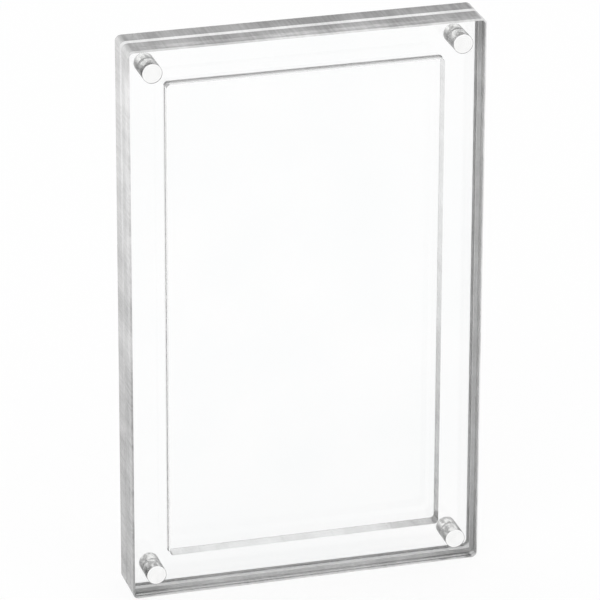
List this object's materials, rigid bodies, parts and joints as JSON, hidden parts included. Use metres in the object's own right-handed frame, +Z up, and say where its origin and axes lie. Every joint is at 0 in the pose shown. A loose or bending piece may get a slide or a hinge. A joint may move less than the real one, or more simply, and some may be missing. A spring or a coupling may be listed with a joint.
{
  "type": "booster pack display case",
  "caption": "Clear acrylic display case with a shallow pocket for a trading card booster pack, held shut by magnets in its corners.",
  "frame": {"origin": "on the table under the middle of the case, halfway through its depth", "axes": "+Z up the height of the case, the window faces -Y, +X to the right as seen from the front"},
  "size_m": [0.09, 0.0132, 0.145],
  "materials": {
    "clear_acrylic": "clear cast acrylic with polished faces and edges",
    "nickel_plate": "bright nickel plate"
  },
  "bodies": {
    "base": {"back_plate": "clear_acrylic", "back_magnet_top_left": "nickel_plate", "back_magnet_top_right": "nickel_plate", "back_magnet_bottom_left": "nickel_plate", "back_magnet_bottom_right": "nickel_plate"},
    "cover": {"front_window": "clear_acrylic", "pocket_frame": "clear_acrylic", "front_magnet_top_left": "nickel_plate", "front_magnet_top_right": "nickel_plate", "front_magnet_bottom_left": "nickel_plate", "front_magnet_bottom_right": "nickel_plate"}
  },
  "joints": [
    {"name": "cover_lift", "type": "slide", "parent": "base", "child": "cover", "axis": [0, -1, 0], "range_m": [0, 0.04]}
  ]
}
